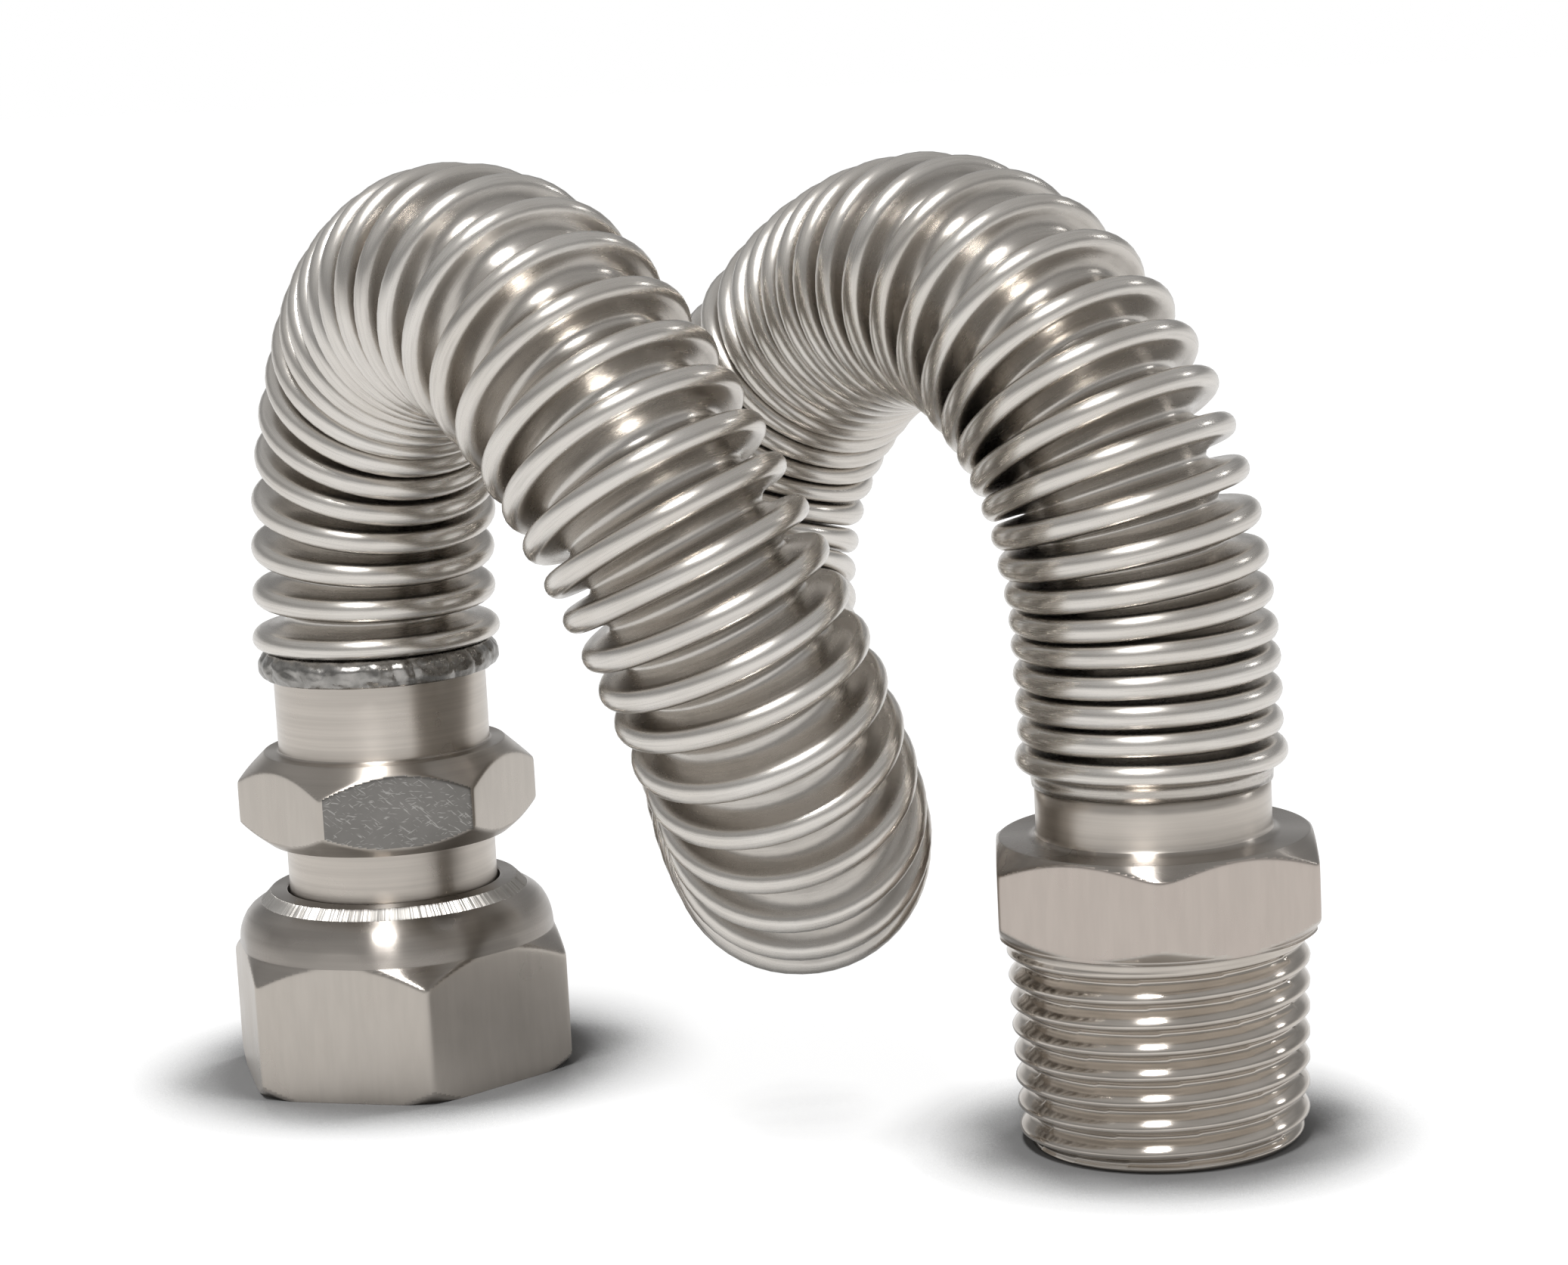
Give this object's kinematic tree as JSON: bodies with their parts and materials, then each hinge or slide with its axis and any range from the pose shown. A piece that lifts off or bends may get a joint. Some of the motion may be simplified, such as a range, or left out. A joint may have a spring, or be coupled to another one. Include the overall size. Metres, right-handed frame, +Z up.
{
  "type": "corrugated flexible metal hose",
  "caption": "Short corrugated metal hose bent into arches, with a swivel nut union on one end and a taper threaded nipple on the other.",
  "frame": {"origin": "centre of the swivel nut's open end, on the surface that the hose stands on", "axes": "+Z up, along the nut's axis into the hose; +X from the nut to the nipple"},
  "size_m": [0.0897, 0.0561, 0.07],
  "materials": {
    "hose_steel": "bright annealed stainless steel, satin",
    "weld_steel": "rough weld metal",
    "fitting_steel": "turned stainless steel",
    "nut_steel": "polished and turned stainless steel",
    "ring_steel": "drawn wire",
    "washer_rubber": "matt",
    "seam_steel": "dressed weld"
  },
  "bodies": {
    "hose_line": {"corrugated_hose": "hose_steel", "union_weld_bead": "weld_steel", "union_stem": "fitting_steel", "retaining_ring": "ring_steel", "male_nipple": "fitting_steel", "nipple_weld_seam": "seam_steel"},
    "turning_nut": {"swivel_nut": "nut_steel", "sealing_washer": "washer_rubber"}
  },
  "joints": [
    {"name": "nut_swivel", "type": "hinge", "parent": "hose_line", "child": "turning_nut", "pos_m": [0, 0, 0], "axis": [0, 0, 1], "continuous": true}
  ]
}
